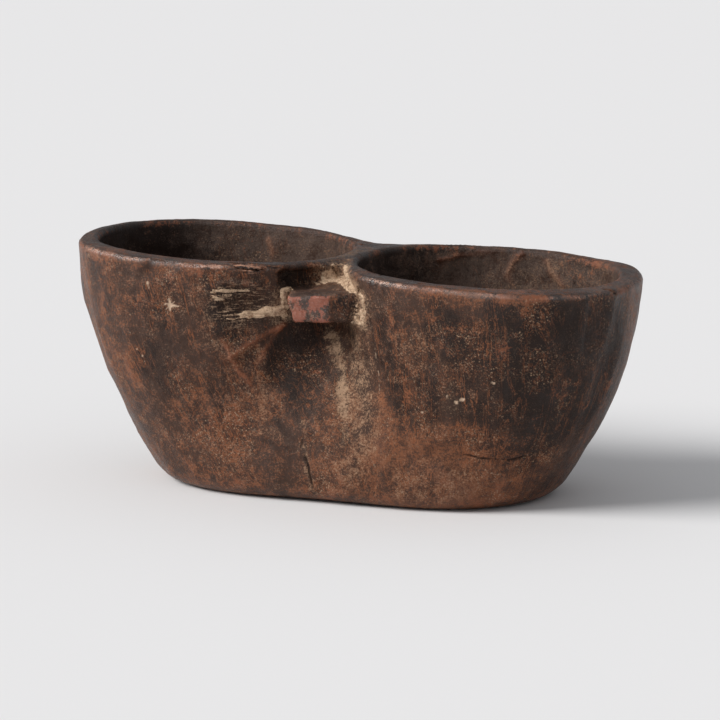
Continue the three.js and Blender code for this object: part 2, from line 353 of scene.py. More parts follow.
FACETS = (  # flats: middle, outward direction, reach and depth
    ((-61, -68.5, 108), (-0.16, -0.93, 0.33), (17, 14, 13), 0.6),
    ((146, -17, 88), (0.88, -0.46, -0.10), (12, 15, 34), 1.3),
    ((124, -45, 88), (0.52, -0.83, -0.22), (20, 20, 30), 0.5),
    ((92, -60, 70), (0.16, -0.95, -0.26), (22, 20, 28), 0.5),
    ((-137, -28, 72), (-0.84, -0.44, -0.30), (18, 20, 32), 0.8),
    ((-112, -54, 92), (-0.46, -0.86, -0.20), (18, 20, 26), 0.6),
    ((-118, -34, 28), (-0.66, -0.54, -0.52), (20, 22, 20), 0.8),
)
ADZE_CUTS = (  # long shallow hollows: path, half width and depth
    (((-25, -51, 86), (-42, -60, 69)), 6.5, 1.1),
    (((-29, -55, 90.5), (-52, -66, 81)), 6.0, 0.9),
    (((-19, -47, 84), (-25, -53, 58)), 8.0, 1.3),
    (((8, -37, 84), (13, -50, 52)), 7.0, 0.8),
    (((149, -14, 113), (141, -22, 71), (130, -18, 42)), 10.0, 1.0),
    (((-149, -6, 112), (-138, -24, 70), (-116, -30, 34)), 11.0, 0.9),
    (((-140, -42, 112), (-128, -44, 66)), 9.0, 0.7),
    (((60, -69, 104), (52, -64, 60)), 12.0, 0.6),
    (((118, -56, 104), (108, -52, 52)), 12.0, 0.7),
    (((-90, -68, 92), (-78, -62, 44)), 12.0, 0.6),
)
SPLITS = (  # from drying: path, half width and depth
    (((-9.1, -56.2, 42), (-7.2, -58, 34), (-7.6, -58.5, 29), (-4.2, -59.7, 22), (-2.6, -59.8, 15),
      (-1.2, -58.5, 5)), 0.45, 1.0),
    (((60, -61, 33.6), (74, -58.5, 32), (90.7, -53.2, 30), (100, -48, 29.2), (108, -43, 30.4),
      (118, -36, 34)), 0.36, 1.0),
    (((-31, -56.5, 121), (-24, -52, 120.4), (-14, -44, 121)), 0.4, 0.9),
)
RIM_CHIP = ((-35, -58.5, 121.6), (11, 4.5, 3.4), 2.8)  # middle, radii and depth
OVERHANG = ((-15, -42, 114.8), (10.5, 14, 5.6), 6.5)
OVERHANG_EDGE_X = -23
SCAR = ((-39, -62, 101.5), (19, 13, 12))  # middle and radii
SCAR_LIP = ((-55, -68, 110), (-45, -66, 113.4), (-31, -58, 112))
RIDGES = (  # soft ridges between knife strokes: path, half width and height
    (((-21.7, -48.5, 90.3), (-31, -55.5, 84.2), (-41.3, -60.1, 77.1), (-52, -63, 70)), 1.5, 1.0),
    (((-22.5, -49.3, 88.9), (-30.4, -54.3, 76.8), (-34.2, -56.2, 66.5)), 1.3, 0.8),
    (((-49.5, -64, 83.5), (-41.7, -59.2, 66.5), (-30.8, -56.6, 52.2)), 1.2, 0.5),
    (((70.2, 62.9, 115), (65.4, 62.6, 110.7), (62.8, 62.2, 104.2), (66.7, 61.8, 96)), 1.7, 0.9),
    (((84.4, 62, 112), (87.4, 61.2, 106.8), (92.9, 59.6, 102), (97, 57, 96)), 1.5, 0.8),
    (((28, 51, 111.5), (36.4, 55.8, 113.4), (52.4, 61.2, 115.6), (60, 62.4, 116)), 1.3, 0.6),
    (((-73.8, 62.8, 115), (-70, 61.5, 104)), 1.6, 0.5),
)
SCRATCHES = (  # pale tapering cuts: path, half width and depth
    (((-76, -69, 104.6), (-75.2, -69.2, 95.6)), 0.75, 0.4),
    (((-79.4, -69, 101), (-70.6, -69, 100)), 0.7, 0.4),
    (((-78.4, -69, 97.8), (-72.6, -69, 102.8)), 0.45, 0.3),
    (((-88.6, -69, 112), (-87, -69, 108)), 0.4, 0.25),
    (((-57, -66.4, 85), (-51, -64, 78.5), (-46.6, -62, 72.5)), 0.32, 0.3),
    (((31, -57.5, 86), (32.6, -57.2, 72), (34, -57, 56)), 0.28, 0.25),
    (((27.5, -56, 80), (28.6, -56.4, 66), (29.4, -57, 54)), 0.22, 0.2),
    (((23.5, -53, 76), (25.4, -55, 60)), 0.2, 0.2),
    (((64, -64, 98), (69.6, -65, 84), (74, -65, 71)), 0.25, 0.2),
    (((118, -44, 96), (112, -46, 80)), 0.22, 0.2),
    (((149.4, -10.3, 112.5), (148.9, -11.4, 99.8), (146.9, -13, 87.2), (142.3, -14.2, 69.2)),
     0.22, 0.2),
)
FLAKES = (  # middle, radius and depth
    ((-75.2, -69.2, 100.3), 1.5, 0.5),
    ((80, -64.3, 61.5), 1.5, 0.5),
    ((76.4, -64.3, 59.8), 1.5, 0.5),
    ((77, -64, 56.5), 1.0, 0.3),
    ((-97, -63, 75), 0.9, 0.3),
    ((-94, -63, 72), 0.8, 0.3),
    ((-93, -62.6, 69), 0.8, 0.3),
    ((72, -64.7, 62.5), 1.2, 0.4),
    ((-88, -69, 111.4), 0.9, 0.3),
    ((96, -63, 71), 1.3, 0.4),
    ((58.7, -62, 53.4), 0.9, 0.3),
)


def lug_share(points):
    """1 on the part of the lug that stands out of the waist."""
    reach = ease(points[:, 1], -44, -50) * ease(np.abs(points[:, 0] - LUG_MIDDLE_X), 21.5, 19.5)
    height = points[:, 2]
    return reach * ease(height, LUG_FOOT - 3, LUG_FOOT - 1) * ease(height, LUG_TOP + 5, LUG_TOP + 3)


def free_of_wall(points):
    """1 on the half of the lug that is clear of the cup walls."""
    return ease(points[:, 1], -50, -54)


def cut_by_hand(skin):
    """The slow swells of a block shaped by eye, slighter underneath and near the rim."""
    swell = 0.85 * rough(skin.points / 64, 21, 2) + 0.3 * rough(skin.points / 21, 25, 2)
    near_rim = ease(rim_depth(skin.points), 16, 3)
    skin.push(swell * (0.1 + 0.9 * standing_share(skin)) * (1 - 0.6 * near_rim))


def sharpen(skin, chosen, share):
    """Draws points back onto the CAD block where its edges should stay crisp."""
    spots = np.flatnonzero(chosen)
    _, places = nearest_on("double_bowl", skin.points[spots], NEARBY)
    skin.points[spots] += share * (places - skin.points[spots])
    skin.write()


def shape_the_lug(skin):
    """Pares the lug's left side, and slants its end back to the right of its ridge."""
    points = skin.points
    standing_out = lug_share(points)
    edge = LUG_LEFT_X + 0.36 * (LUG_TOP - points[:, 2]) - 0.12 * (points[:, 1] - LUG_END_Y)
    points[:, 0] += standing_out * np.clip(edge - points[:, 0], 0, 6)
    slope = LUG_END_Y + 0.9 * np.clip(points[:, 0] - LUG_RIDGE_X, 0, 30)
    beyond = np.clip(slope - points[:, 1], 0, 7)
    points[:, 1] += free_of_wall(points) * standing_out * beyond
    skin.write()


def cut_with_tools(skin):
    """Adze marks down the outside, gouge scallops inside, long hollows and flats."""
    inside = inner_share(skin)
    place = on_rim_outline(skin.points)
    wander = wandering(skin.points, 30, 31, 2)
    first, second, owner = nearest_cells(place / (17, 17, 44) + 0.18 * wander, 41)
    adze = 0.42 * (2.2 * first ** 2 - 0.5) + 0.34 * (owner - 0.5) * ease(second - first, 0, 0.14)
    first, second, owner = nearest_cells(skin.points / (15, 15, 23) + 0.2 * wander, 43)
    gouge = 0.95 * (2.2 * first ** 2 - 0.5) + 0.6 * (owner - 0.5) * ease(second - first, 0, 0.12)
    near_rim = ease(rim_depth(skin.points), 12, 3)
    marks = adze * (1 - inside) * (1 - lug_share(skin.points)) + gouge * inside
    skin.push(marks * standing_share(skin) * (1 - 0.7 * near_rim))

    hollows = np.zeros(len(skin.points))
    for path, half_width, depth in ADZE_CUTS:
        gap, share = along_path(skin.points, path)
        ends = ease(share, 0, 0.12) * ease(share, 1, 0.88) * 0.6 + 0.4
        hollows = np.maximum(hollows, depth * np.clip(1 - (gap / half_width) ** 2, 0, 1) * ends)
    skin.push(-hollows * (1 - inside))
    plane_facets(skin, inside)


def plane_facets(skin, inside):
    """Flats left by single knife strokes, meeting the round wall at soft ridges."""
    for middle, outward, reach, depth in FACETS:
        direction = np.array(outward) / np.linalg.norm(outward)
        nearness = blob(skin.points, middle, 1.6 * np.array(reach))
        close = (nearness > 0.02) & (inside < 0.5) & (skin.normals @ direction > 0.55)
        heights = skin.points @ direction
        level = heights[close & (blob(skin.points, middle, reach) > 0.3)].max() - depth
        over = np.clip(heights - level, 0, 3 * depth) * close * ease(nearness, 0, 0.2)
        skin.points -= direction * over[:, None]
    skin.write()


def wear_the_rim(skin):
    """A rim worn into low dips, nicked along both shoulders."""
    points = skin.points
    near_rim = ease(rim_depth(points), 7, 1.5)
    dips = 0.42 * rough(points / (38, 38, 200), 51, 2) + 0.12 * rough(points / 9, 55, 2)
    points[:, 2] += near_rim * (dips - 0.2)
    skin.write()
    nicks = ease(rough(points / 6.5, 57, 3), 0.62, 1.1)
    skin.push(-0.9 * near_rim * nicks)


def cut_the_waist(skin):
    """The hollow left under the rim beside the lug, with a torn left edge."""
    centre, radii, depth = OVERHANG
    tear = 1.3 * rough(skin.points / 4, 61, 3)
    edge = ease(skin.points[:, 0] + tear, OVERHANG_EDGE_X - 0.8, OVERHANG_EDGE_X + 1.2)
    skin.push(-depth * blob(skin.points, centre, radii) * edge * (1 - inner_share(skin)))
    centre, radii, depth = RIM_CHIP
    splinter = 0.7 + 1.1 * rough(skin.points / (12, 3.2, 1.3), 63, 2)
    skin.push(-depth * blob(skin.points, centre, radii) * splinter)


def raise_ridges(skin):
    """Leaves ridges standing where two strokes met; returns how much of a ridge each point is."""
    ridge = np.zeros(len(skin.points))
    wander = 0.7 * rough(skin.points / 7, 67, 2)[:, None]
    for path, half_width, height in RIDGES:
        gap, share = along_path(skin.points + wander, path)
        here = np.exp(-(gap / half_width) ** 2) * ease(share, 1, 0.6)
        skin.push(height * here)
        ridge = np.maximum(ridge, here)
    return ridge


def tear_the_scar(skin):
    """Torn fibres along the grain in the scar, and a raised lip above it."""
    centre, radii = SCAR
    within = blob(skin.points + 1.2 * rough(skin.points / 5, 71, 2)[:, None], centre, radii)
    fibres = rough(skin.points / (13, 13, 1.5), 73, 3)
    skin.push(within * (0.55 * fibres - 0.35))
    lip, _ = along_path(skin.points, SCAR_LIP)
    skin.push(0.7 * ease(lip, 2.6, 0.4))


def split_and_chip(skin):
    """Narrow splits, shallow flakes and scratches; returns how deep the splits and flakes are."""
    open_split = np.zeros(len(skin.points))
    for path, half_width, depth in SPLITS:
        wander = 0.5 * rough(skin.points / 6, 81, 3)[:, None]
        gap, share = along_path(skin.points + wander, path)
        closing = ease(share, 0, 0.25) * ease(share, 1, 0.7)
        groove = np.exp(-(gap / (half_width * (0.5 + closing))) ** 2)
        open_split = np.maximum(open_split, depth * groove * (0.25 + 0.75 * closing))
    flakes = np.zeros(len(skin.points))
    for centre, radius, depth in FLAKES:
        ragged = radius * (1 + 0.7 * rough(skin.points / 2.2, 85, 2))
        gap = np.linalg.norm(skin.points - centre, axis=1)
        flakes = np.maximum(flakes, depth * ease(gap, ragged, 0.6 * ragged))
    for path, half_width, depth in SCRATCHES:
        wander = 0.5 * rough(skin.points / 3, 87, 3)[:, None]
        gap, share = along_path(skin.points + wander, path)
        taper = half_width * np.sqrt(np.clip(4 * share * (1 - share), 0.02, 1))
        flakes = np.maximum(flakes, depth * ease(gap, 1.5 * taper, 0.5 * taper))
    skin.push(-open_split - flakes)
    return open_split, flakes


def roughen(skin):
    """Fine pits and raised grain, and the knocks on the lug."""
    inside = inner_share(skin)
    grain = rough(on_rim_outline(skin.points) / (2.6, 2.6, 16), 91, 3)
    pits = ease(rough(skin.points / 2.4, 95, 3), 0.7, 1.2)
    on_lug = lug_share(skin.points)
    knocks = 0.4 * rough(skin.points / 6, 97, 3)
    skin.push(0.07 * grain * (1 - on_lug) * (1 - 0.4 * inside) - 0.22 * pits + knocks * on_lug)


def fine_zone(skin, margin):
    """True near the lug, the scar and the chipped rim, and along every fine mark."""
    points = skin.points
    low = np.array((-54, -75, LUG_FOOT - 2)) - margin
    high = np.array((25, -37, 121)) + margin
    chosen = np.all((points > low) & (points < high), axis=1) & (skin.normals[:, 1] < 0.3)
    reaches = [(path, 1.8) for path, _, _ in SPLITS]
    reaches += [(path, 1.6 * half_width) for path, half_width, _ in RIDGES]
    reaches += [(path, 2 * half_width + 0.8) for path, half_width, _ in SCRATCHES]
    for path, reach in reaches:
        chosen |= along_path(points, path)[0] < reach + margin
    for centre, radius, _ in FLAKES:
        chosen |= np.linalg.norm(points - centre, axis=1) < radius + 1.2 + margin
    return chosen


# ---- what lies where on the skin

DUST_AND_LIGHT_RUNS = (  # pale dusting down the waist, and painted light in the first two runs, on the waist's lit right flank and under the lug where its shadow falls: path, half width and strength
    (((14, -42, 92), (21, -50, 68), (25, -58, 42), (22, -60, 20)), 12.0, 0.85),
    (((-1, -33, 84), (4.5, -40, 72.4), (9.5, -47.6, 61), (12.9, -52.4, 52), (17, -57, 34)), 4.6, 1.6),
    (((12.2, -40, 85.3), (20.8, -48.7, 80.2), (23.8, -51.3, 74.6), (22, -52, 60.2)), 1.7, 0.95),
    (((27, -56, 94), (29, -56, 70)), 4.0, 0.5),
    (((-36, -58, 76), (-32, -56, 52), (-27, -57, 36)), 9.0, 0.5),
    (((-9, -56, 42), (-4, -59.7, 22), (-1, -58.5, 6)), 2.4, 0.75),
    (((8, -58, 34), (9, -60, 16), (9, -60, 5)), 6.0, 0.4),
)
DUST_PATCHES = (  # from here on: middle, radii and strength
    ((-39, -61, 99), (20, 12, 9), 0.7),
    ((58, -62, 88), (24, 10, 14), 0.45),
    ((78, -64, 60), (12, 8, 10), 0.6),
    ((62, -60, 16), (34, 14, 12), 0.55),
    ((-66, -68, 102), (16, 10, 10), 0.3),
    ((-40, -60, 62), (16, 12, 20), 0.4),
    ((-46, -63, 84), (16, 10, 10), 0.5),
    ((22, -57, 46), (14, 9, 16), 0.6),
    ((2, -10, 121), (18, 30, 5), 0.75),
    ((3, -45, 109), (20, 16, 3), 0.8),
)
WARM_PATCHES = (
    ((70, -58, 22), (62, 30, 28), 1.0),
    ((30, -58, 38), (26, 22, 28), 0.85),
    ((-70, -50, 12), (80, 40, 22), 0.42),
    ((-112, -40, 84), (20, 34, 50), 0.6),
    ((-52, -62, 50), (30, 20, 34), 0.4),
    ((100, -60, 117), (52, 22, 6), 1.0),
    ((-95, -62, 123), (44, 16, 5), 0.7),
    ((95, 52, 117), (54, 24, 7), 0.7),
    ((66, -66, 84), (30, 12, 30), 0.3),
)
# Soot on the walls, and painted shade: in the waist's crease below the lug, in the hollow under the rim
# beside it and on the lug's right side.
SOOT_AND_SHADE_PATCHES = (
    ((124, -40, 84), (34, 44, 44), 1.15),
    ((84, -66, 92), (26, 16, 24), 0.5),
    ((-14, -44, 78), (15, 18, 28), 0.95),
    ((-18, -40, 114), (10, 14, 8), 1.0),
    ((-46, -62, 96), (10, 10, 10), 0.6),
    ((-84, -66, 70), (10, 12, 22), 0.35),
    ((106, -46, 46), (26, 22, 26), 0.7),
    ((60, -64, 62), (20, 12, 20), 0.4),
    ((14, -56, 101), (9, 9, 8), 1.0),
)
# Where a highlight is painted along the rim's outer shoulder.
SHOULDER_HIGHLIGHT_PATCHES = (
    ((-108, -58, 124), (26, 14, 6), 1.0),
    ((-66, -68, 121), (26, 14, 6), 0.75),
    ((44, -58, 118), (20, 14, 6), 1.0),
    ((84, -68, 115), (26, 12, 6), 0.55),
    ((136, -46, 112), (16, 20, 6), 0.5),
    ((60, 62, 118), (70, 16, 7), 0.5),
    ((-90, 50, 124), (60, 24, 7), 0.4),
)
# Painted shade inside the cups: on each cup's left wall, where the rim's shadow falls, and towards both
# floors.
CUP_SHADE = (
    ((-126, 0, 90), (34, 60, 60), 0.9),
    ((22, -6, 92), (26, 50, 60), 0.9),
    ((-70, 0, 20), (70, 60, 20), 0.6),
    ((70, 0, 20), (70, 60, 20), 0.6),
)
CUP_DUST = (
    ((58, 52, 104), (5, 14, 16), 0.7),
    ((98, 46, 106), (24, 16, 12), 0.55),
    ((128, 20, 104), (14, 20, 12), 0.5),
    ((92, 52, 102), (46, 20, 26), 0.55),
    ((-52, 56, 108), (40, 14, 12), 0.3),
)
GRAIN_SLANT = (0.22, 0, 0)  # how far the grain leans for each step up


def patches_at(points, patches):
    """The strongest patch at each point, with ragged edges."""
    total = np.zeros(len(points))
    moved = points + 5 * wandering(points, 17, 101, 3)
    for centre, radii, strength in patches:
        total = np.maximum(total, strength * blob(moved, centre, radii))
    return total


def runs_at(points, runs):
    """The strongest run at each point, with ragged edges."""
    total = np.zeros(len(points))
    moved = points + 2.2 * wandering(points, 9, 111, 3)
    for path, half_width, strength in runs:
        gap, _ = along_path(moved, path)
        total = np.maximum(total, strength * ease(gap, 1.5 * half_width, 0.2 * half_width))
    return total


def paint_the_wood(skin, open_split, flakes, ridge):
    """Stores, for each point, how worn, hollow, warm, sooty and dusted the wood is, with painted shade
    among the sooty patches and inside the cups, painted light down the waist, and where a highlight is
    painted along the rim's shoulder.
    """
    points = skin.points
    up = skin.normals[:, 2]
    inside = inner_share(skin)
    outside = 1 - inside
    rim = ease(rim_depth(points), 4.5, 1)
    rim_top = rim * ease(up, 0.78, 0.96)
    shoulder = rim * ease(up, 0.2, 0.45) * ease(up, 0.97, 0.8)
    edges = ease(skin.relief(14), 0.06, 0.42)
    on_lug = lug_share(points)
    lug_face = on_lug * free_of_wall(points) * ease(up, 0.75, 0.45)
    left_of_ridge = ease(points[:, 0] + rough(points / 3, 99, 2), LUG_RIDGE_X + 2, LUG_RIDGE_X - 1)
    # Dusting, with painted light in the first two waist runs.
    dust_and_light = np.maximum(patches_at(points, DUST_PATCHES), runs_at(points, DUST_AND_LIGHT_RUNS))
    to_collar, _ = nearest_on("lug_crust", points, COLLAR_REACH)
    dust_and_light = np.maximum(dust_and_light, 1.15 * ease(to_collar, 8, 0.5))
    dust_and_light = np.maximum(dust_and_light, 0.8 * on_lug * ease(up, 0.7, 0.9)) * (1 - 0.9 * lug_face)
    cup_dust = patches_at(points, CUP_DUST) + 0.6 * ridge
    # Soot patches with painted shade among them, and darker on the rim's flat top.
    soot_and_shade = np.maximum(patches_at(points, SOOT_AND_SHADE_PATCHES), 0.8 * rim_top)
    worn = edges * (1 - 0.75 * rim_top) + 0.35 * (rim - rim_top) + ridge
    slant = np.outer(points[:, 2], GRAIN_SLANT)
    masks = {
        "grain_place": (on_rim_outline(points) + slant) * MM,
        "worn": np.clip(worn, 0, 1),
        "ridge": ridge,
        "hollow": ease(-skin.relief(10), 0.05, 0.45),
        "inside": inside,
        "rim": rim,
        # where a highlight is painted on the rim's shoulder
        "shoulder": shoulder * outside * patches_at(points, SHOULDER_HIGHLIGHT_PATCHES),
        "polish": lug_face * left_of_ridge,
        "scar": blob(points, *SCAR) * outside,
        "warm": patches_at(points, WARM_PATCHES) * outside,
        # soot and painted shade outside, painted shade inside the cups
        "soot_and_shade": soot_and_shade * outside + patches_at(points, CUP_SHADE) * inside,
        "dust_and_light": dust_and_light * outside + cup_dust * inside,
        "chip": blob(points, *RIM_CHIP[:2]) * outside,
        "split": ease(open_split, 0.1, 0.6),
        "flake": ease(flakes, 0.08, 0.4),
    }
    for name, values in masks.items():
        skin.paint(name, values)


# ---- crust

COLLAR_LEFT = (  # the thin run up the left of the lug and along its top
    (-20.6, -49.0, 95.5),
    (-20.6, -49.4, 108.0),
    (-18.0, -46.5, 110.2),
    (-11.0, -40.0, 111.6),
    (-6.0, -32.0, 113.0),
)
COLLAR_TONGUE = ((-7, -31, LUG_TOP + 3), (-5, -28, 116.2))
SCAR_BAND = ((-41, -62, 97), (-31, -56, 97.2), (-22, -50.5, 98.6))
SCAR_UPPER_WISPS = ((-51, -67, 107), (-38, -61, 107.6))
SCAR_LOWER_WISPS = ((-50, -66, 98), (-42, -63, 96))
CRUST_FEATHER = 0.25  # how far a crust's edge dips under the wood
CRUST_ROOT = 0.6  # how deep its hidden underside lies


def collar_thickness(skin):
    """Crust in millimetres round the lug: thick in the corner, torn at its edges."""
    points = skin.points
    gap, _ = nearest_on("lug_crust", points, COLLAR_REACH)
    torn = 0.45 * rough(points / 2.6, 121, 4)
    on_the_left = ease(points[:, 0], -13, -17) * ease(points[:, 2], LUG_TOP + 2, LUG_TOP)
    body = 1.4 * ease(gap + 1.5 * torn, 0.95, 0.1) * (1 - on_the_left)
    left, _ = along_path(points, COLLAR_LEFT)
    body = np.maximum(body, 1.3 * ease(left + 1.6 * torn, 2.5, 0.7))
    tongue, _ = along_path(points, COLLAR_TONGUE)
    body = np.maximum(body, 1.0 * ease(tongue + 4 * torn, 2.6, 0.4))
    grains = 0.55 * rough(points / 1.7, 125, 3)
    pit = 2.4 * blob(points, (22.5, -53, LUG_TOP - 4), (1.1, 2.4, 2.6))
    return body * (1 + grains) - 0.3 - pit - 3 * lug_share(points) * ease(points[:, 1], -50, -53)


def scar_thickness(skin):
    """Crust in millimetres in the scar: a band along the grain with broken strands."""
    points = skin.points
    gap, _ = along_path(points, SCAR_BAND)
    strands = rough(points / (11, 11, 1.1), 131, 3)
    torn = 0.8 * rough(points / (5, 5, 2.2), 133, 4)
    body = 1.3 * ease(gap + torn, 3.2, 0.8)
    upper, _ = along_path(points, SCAR_UPPER_WISPS)
    wisps = 0.95 * ease(upper + 1.4 * torn, 4.8, 1.5) * ease(strands, 0.0, 0.4)
    lower, _ = along_path(points, SCAR_LOWER_WISPS)
    wisps = np.maximum(wisps, 0.9 * ease(lower + 1.4 * torn, 4.4, 1.5) * ease(strands, 0.15, 0.5))
    return np.maximum(body * (1 + 0.6 * strands), wisps) - 0.22


def grow_crust(skin, thickness, name):
    """A closed body standing on the skin wherever its thickness is above nothing."""
    work = bmesh.new()
    work.from_mesh(skin.mesh)
    kept = [f for f in work.faces if any(thickness[v.index] > 0 for v in f.verts)]
    outer = bmesh.new()
    top, root = {}, {}
    for i in dict.fromkeys(v.index for f in kept for v in f.verts):
        place = Vector(skin.points[i] * MM)
        normal = Vector(skin.normals[i])
        top[i] = outer.verts.new(place + normal * max(thickness[i], -CRUST_FEATHER) * MM)
        root[i] = outer.verts.new(place - normal * CRUST_ROOT * MM)
    within = set(kept)
    for face in kept:
        ring = [v.index for v in face.verts]
        outer.faces.new([top[i] for i in ring])
        outer.faces.new([root[i] for i in reversed(ring)])
        for loop in face.loops:
            if all(other not in within for other in loop.edge.link_faces if other != face):
                a, b = loop.vert.index, loop.link_loop_next.vert.index
                outer.faces.new((top[b], top[a], root[a], root[b]))
    mesh = bpy.data.meshes.new(name)
    outer.to_mesh(mesh)
    outer.free()
    work.free()
    shade_smooth(mesh)
    return new_piece(name, mesh)


# ---- material graphs

class Graph:
    """A material's nodes, written as nested calls."""

    def __init__(self, name):
        self.material = bpy.data.materials.new(name)
        self.material.use_nodes = True
        self.nodes = self.material.node_tree.nodes
        self.links = self.material.node_tree.links
        self.nodes.clear()

    def plug(self, socket, value):
        """Links a socket to another, or sets its own value."""
        if isinstance(value, bpy.types.NodeSocket):
            self.links.new(value, socket)
        else:
            socket.default_value = value

    def add(self, kind, inputs=(), **options):
        node = self.nodes.new("ShaderNode" + kind)
        for key, value in options.items():
            setattr(node, key, value)
        for key, value in dict(inputs).items():
            self.plug(node.inputs[key], value)
        return node

    def field(self, name):
        return self.add("Attribute", attribute_name=name).outputs["Fac"]

    def place(self, name, scale):
        vector = self.add("Attribute", attribute_name=name).outputs["Vector"]
        return self.add("Mapping", {"Vector": vector, "Scale": scale}).outputs["Vector"]

    def own_place(self, scale=(1, 1, 1), turn=(0, 0, 0)):
        vector = self.add("TexCoord").outputs["Object"]
        turned = self.add("Mapping", {"Vector": vector, "Rotation": turn}).outputs["Vector"]
        return self.add("Mapping", {"Vector": turned, "Scale": scale}).outputs["Vector"]

    def noise(self, vector, scale, detail=4.0, roughness=0.55, distortion=0.0):
        return self.add("TexNoise", {"Vector": vector, "Scale": scale, "Detail": detail,
                                     "Roughness": roughness, "Distortion": distortion}).outputs["Fac"]

    def cells(self, vector, scale):
        return self.add("TexVoronoi", {"Vector": vector, "Scale": scale}).outputs["Distance"]

    def math(self, operation, *values):
        return self.add("Math", enumerate(values), operation=operation).outputs[0]

    def times(self, a, b):
        return self.math("MULTIPLY", a, b)

    def highest(self, a, b):
        return self.math("MAXIMUM", a, b)

    def weighed(self, start, *terms):
        """start plus each value times its weight."""
        total = start
        for value, weight in terms:
            total = self.math("MULTIPLY_ADD", value, weight, total)
        return total

    def stirred(self, start, *noises):
        """start plus each noise's swing about its middle, times its weight."""
        middle = self.math("ADD", start, -0.5 * sum(weight for _, weight in noises))
        return self.weighed(middle, *noises)

    def vein(self, value, width):
        """1 on thin lines where a noise passes through its middle value."""
        away = self.math("ABSOLUTE", self.math("SUBTRACT", value, 0.5))
        return self.ease(away, width, 0)

    def ease(self, value, low, high):
        return self.add("MapRange", {"Value": value, "From Min": low, "From Max": high},
                        interpolation_type="SMOOTHSTEP").outputs["Result"]

    def blend(self, share, a, b):
        """Colour a where share is 0, colour b where it is 1."""
        node = self.add("Mix", data_type="RGBA")
        self.plug(node.inputs[0], share)
        for socket, colour in ((node.inputs[6], a), (node.inputs[7], b)):
            linked = isinstance(colour, bpy.types.NodeSocket)
            self.plug(socket, colour if linked else (*colour, 1))
        return node.outputs[2]

    def bump(self, height, distance):
        return self.add("Bump", {"Height": height, "Distance": distance, "Strength": 1}).outputs["Normal"]

    def finish(self, **sockets):
        shader = self.add("BsdfPrincipled")
        for key, value in sockets.items():
            self.plug(shader.inputs[key.replace("_", " ")], value)
        self.add("OutputMaterial", {"Surface": shader.outputs["BSDF"]})
        return self.material


